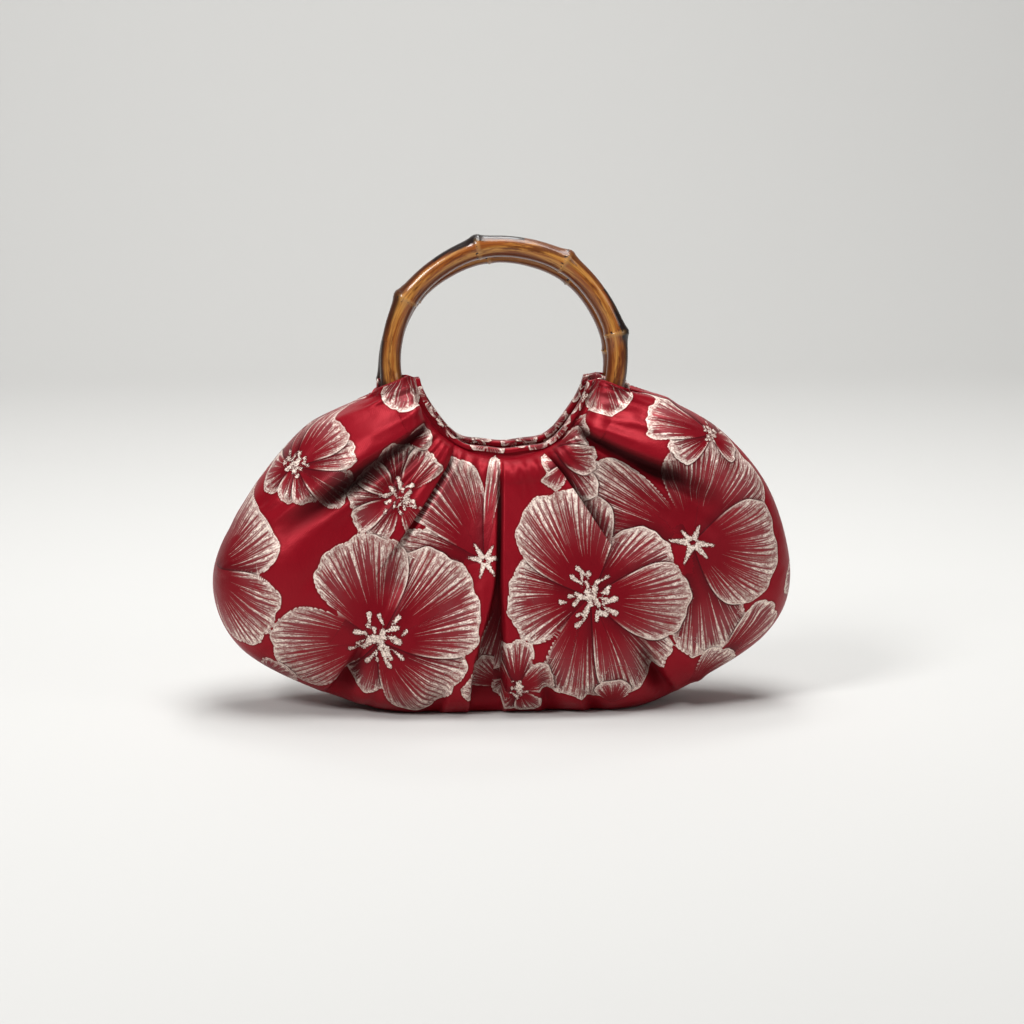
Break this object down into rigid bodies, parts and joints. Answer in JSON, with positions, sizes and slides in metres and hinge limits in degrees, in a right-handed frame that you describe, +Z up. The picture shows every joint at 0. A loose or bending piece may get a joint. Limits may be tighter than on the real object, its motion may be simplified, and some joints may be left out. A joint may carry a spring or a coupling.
{
  "type": "bamboo handle bag",
  "caption": "Soft pleated handbag of flowered brocade gathered onto bamboo ring handles, open at the mouth, standing on a flattened foot.",
  "frame": {"origin": "middle of the foot, on the surface that the bag stands on", "axes": "+Z up, +X along the width to the right as seen from the front, front faces -Y"},
  "size_m": [0.3, 0.0898, 0.2439],
  "materials": {
    "brocade": "red satin ground with woven champagne flowers",
    "facing": "red satin",
    "bamboo": "honey bamboo under clear lacquer, scorched at the knots"
  },
  "bodies": {
    "root": {"front_panel": "brocade", "back_panel": "brocade", "front_facing": "facing", "back_facing": "facing", "front_mouth_band": "brocade", "back_mouth_band": "brocade", "front_ring": "bamboo", "back_ring": "bamboo"}
  },
  "joints": []
}
